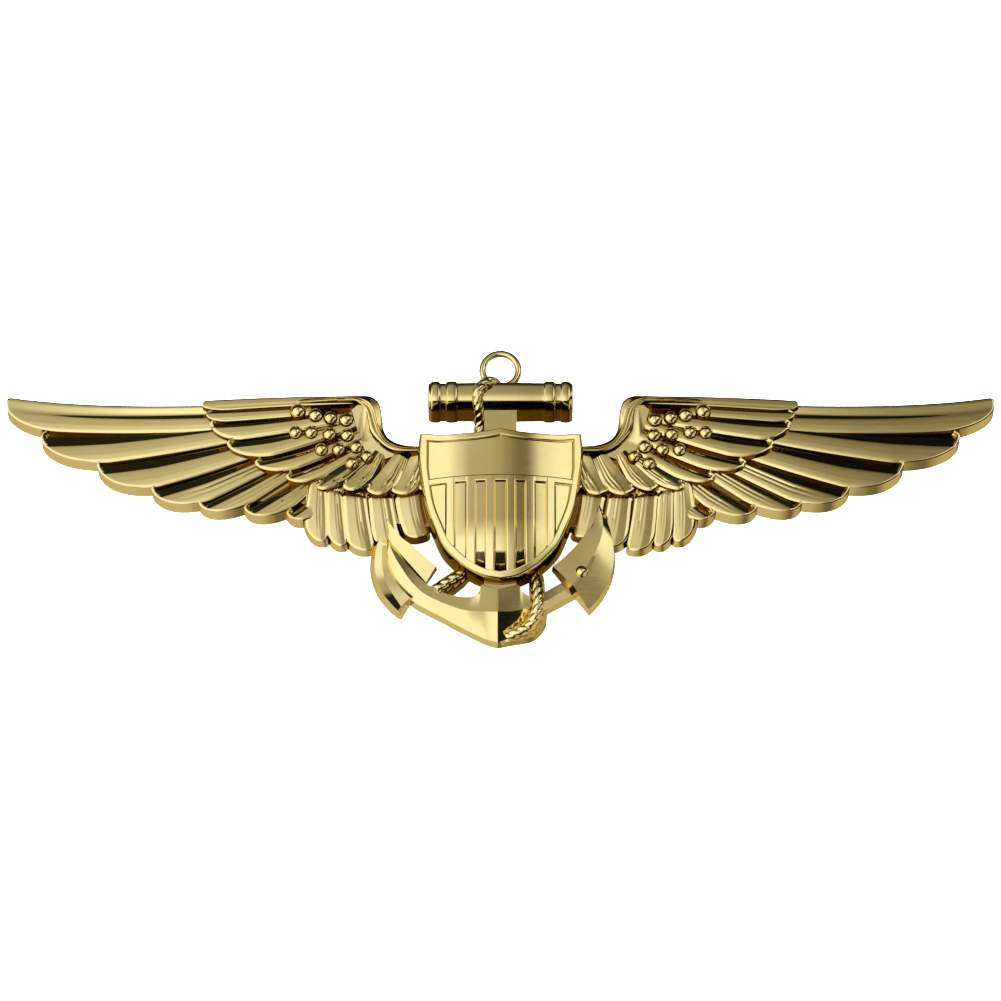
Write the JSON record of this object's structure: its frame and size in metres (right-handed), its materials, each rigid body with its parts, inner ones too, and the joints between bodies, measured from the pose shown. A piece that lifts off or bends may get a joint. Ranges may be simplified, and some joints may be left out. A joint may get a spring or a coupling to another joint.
{
  "type": "wings badge",
  "caption": "Bowed wings badge with a domed shield over a roped anchor, on a hinged brooch pin with a turning safety catch.",
  "frame": {"origin": "under the middle of the badge's outline, on the surface that the pin fittings rest on", "axes": "+X along the wings towards the right wing tip, +Y towards the anchor's ring, +Z out of the badge's face"},
  "size_m": [0.0696, 0.0218, 0.0087],
  "materials": {
    "gold": "mirror-polished gold plate with fine swirl marks",
    "gold_back": "gold plate over a brushed, tumbled surface",
    "steel": "drawn bright wire"
  },
  "bodies": {
    "root": {"left_wing": "gold", "right_wing": "gold", "shield": "gold", "anchor_shank": "gold", "anchor_stock": "gold", "anchor_ring": "gold", "anchor_rope": "gold", "left_palm": "gold", "right_palm": "gold", "palm_rivet": "gold", "back_bar": "gold_back", "hinge_bracket": "gold_back", "hinge_rivet": "steel", "catch_body": "gold_back"},
    "stem": {"pin_stem": "steel"},
    "sleeve": {"catch_sleeve": "gold_back"}
  },
  "joints": [
    {"name": "stem_hinge", "type": "hinge", "parent": "root", "child": "stem", "pos_m": [-0.0115, 0.00099, 0.0018], "axis": [0, 1, 0], "range_deg": [0, 105]},
    {"name": "sleeve_turn", "type": "hinge", "parent": "root", "child": "sleeve", "pos_m": [0.0115, 0.00099, 0.0018], "axis": [1, 0, 0], "range_deg": [0, 150]}
  ]
}
